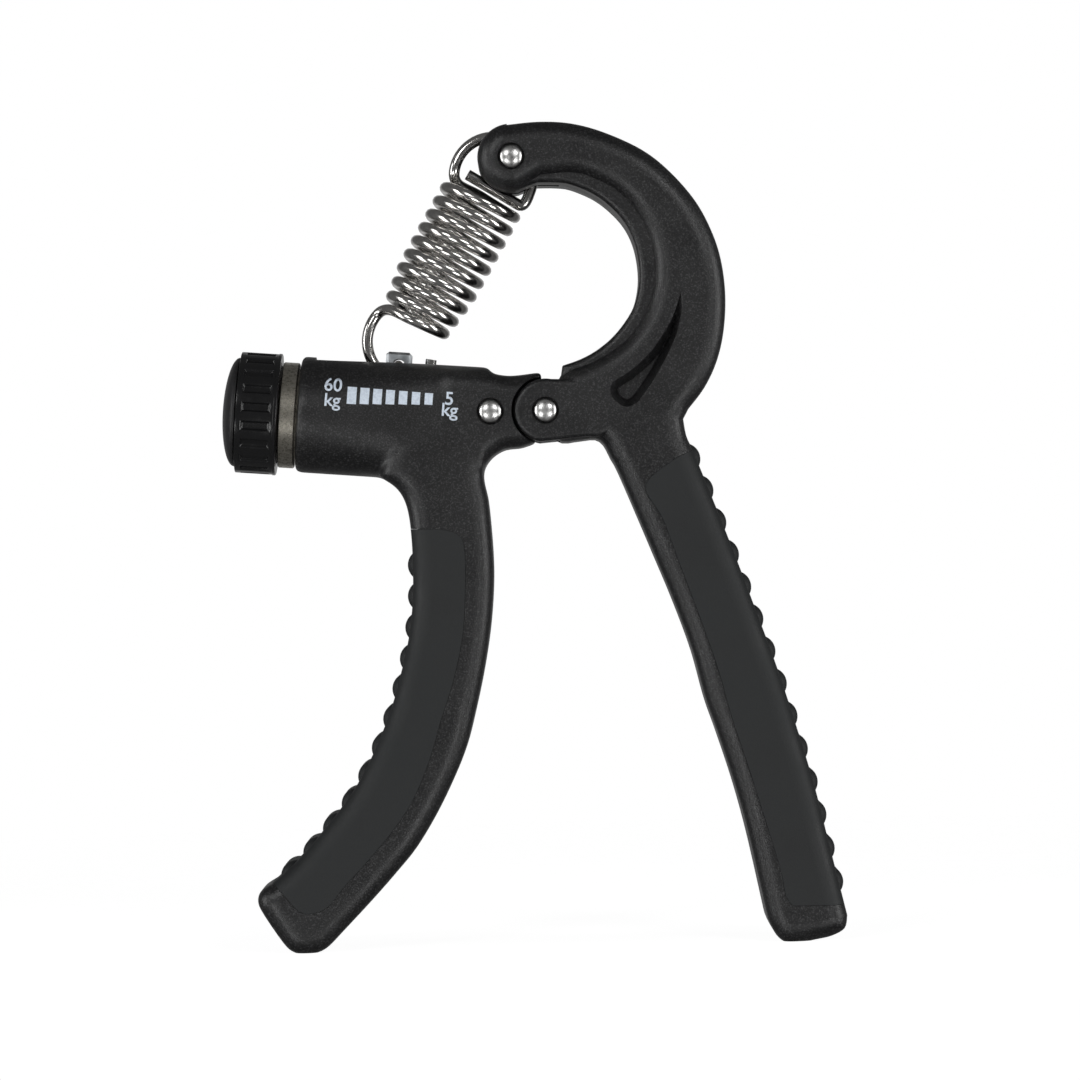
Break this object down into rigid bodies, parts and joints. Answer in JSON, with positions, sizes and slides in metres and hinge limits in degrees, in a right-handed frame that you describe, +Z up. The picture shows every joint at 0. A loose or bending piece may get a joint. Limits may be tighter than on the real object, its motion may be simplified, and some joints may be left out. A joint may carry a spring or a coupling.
{
  "type": "adjustable spring hand grip",
  "caption": "Hand-strength exerciser with two rubber-faced handles hinged under a hooked arm, a coil spring, and a knob and screw that set its resistance.",
  "frame": {"origin": "middle of the part's box, on the surface that its two handle tips stand on", "axes": "+Z up towards the hooked arm, +X from the knob towards the lever's handle, +Y away from the side that carries the scale"},
  "size_m": [0.1172, 0.0236, 0.1573],
  "materials": {
    "black_plastic": "fine grained black moulding",
    "gloss_plastic": "gloss black moulding",
    "grey_rubber": "smooth dark grey soft rubber",
    "bright_steel": "bright nickel plate",
    "plain_steel": "plain turned steel",
    "zinc_cast": "satin die-cast zinc",
    "white_nylon": "natural nylon"
  },
  "bodies": {
    "fixed_handle": {"fixed_handle_body": "black_plastic", "fixed_handle_grip": "grey_rubber", "barrel_liner": "bright_steel", "liner_end_plug": "zinc_cast", "liner_rivet": "bright_steel", "end_bush": "white_nylon", "thrust_washer": "plain_steel"},
    "hinge_core": {"hinge_rivet": "bright_steel", "hinge_bush": "plain_steel", "hinge_washer_front": "plain_steel", "hinge_washer_rear": "plain_steel"},
    "lever": {"lever_body": "black_plastic", "lever_grip": "grey_rubber", "spring_rivet": "bright_steel", "spring_spool": "plain_steel"},
    "knob": {"knob_ring": "gloss_plastic", "knob_cap": "black_plastic", "lead_screw": "plain_steel", "knob_screw": "plain_steel", "screw_clip": "plain_steel"},
    "carriage": {"carriage_nut": "zinc_cast"},
    "anchor_pin": {"anchor_pin": "plain_steel"},
    "anchor_bush": {"anchor_bush": "plain_steel"},
    "spring": {"main_spring": "bright_steel"}
  },
  "joints": [
    {"name": "knob_turn", "type": "hinge", "parent": "fixed_handle", "child": "knob", "pos_m": [-0.04368, 0, 0.10255], "axis": [0.9962, 0, -0.0873], "range_deg": [-864, 1368]},
    {"name": "opening_set", "type": "hinge", "parent": "fixed_handle", "child": "hinge_core", "pos_m": [0.00342, 0, 0.10224], "axis": [0, 1, 0], "range_deg": [-8, 5.1]},
    {"name": "handle_squeeze", "type": "hinge", "parent": "hinge_core", "child": "lever", "pos_m": [0.00342, 0, 0.10224], "axis": [0, 1, 0], "range_deg": [0, 35], "stiffness_Nm_per_rad": 6, "springref_deg": -10.89},
    {"name": "carriage_travel", "type": "slide", "parent": "fixed_handle", "child": "carriage", "axis": [-0.9962, 0, 0.0873], "range_m": [-0.0061, 0.0096]},
    {"name": "anchor_pin_turn", "type": "hinge", "parent": "carriage", "child": "anchor_pin", "pos_m": [-0.0245, 0, 0.11181], "axis": [0, 1, 0], "range_deg": [-2.8, 4.3]},
    {"name": "anchor_bush_turn", "type": "hinge", "parent": "anchor_pin", "child": "anchor_bush", "pos_m": [-0.0245, 0, 0.11181], "axis": [0, 1, 0], "range_deg": [0, 26.6]},
    {"name": "spring_stretch", "type": "slide", "parent": "anchor_bush", "child": "spring", "axis": [0.502, 0, 0.8649], "range_m": [0, 0.017], "deforming": ["main_spring"]}
  ],
  "couplings": [
    {"joint": "carriage_travel", "follows": "knob_turn", "m_per_rad": 0.00039789},
    {"joint": "opening_set", "follows": "knob_turn", "ratio": -0.0057992},
    {"joint": "anchor_pin_turn", "follows": "knob_turn", "ratio": 0.0030538},
    {"joint": "anchor_bush_turn", "follows": "handle_squeeze", "ratio": 0.755},
    {"joint": "spring_stretch", "follows": "handle_squeeze", "m_per_rad": 0.0276}
  ]
}
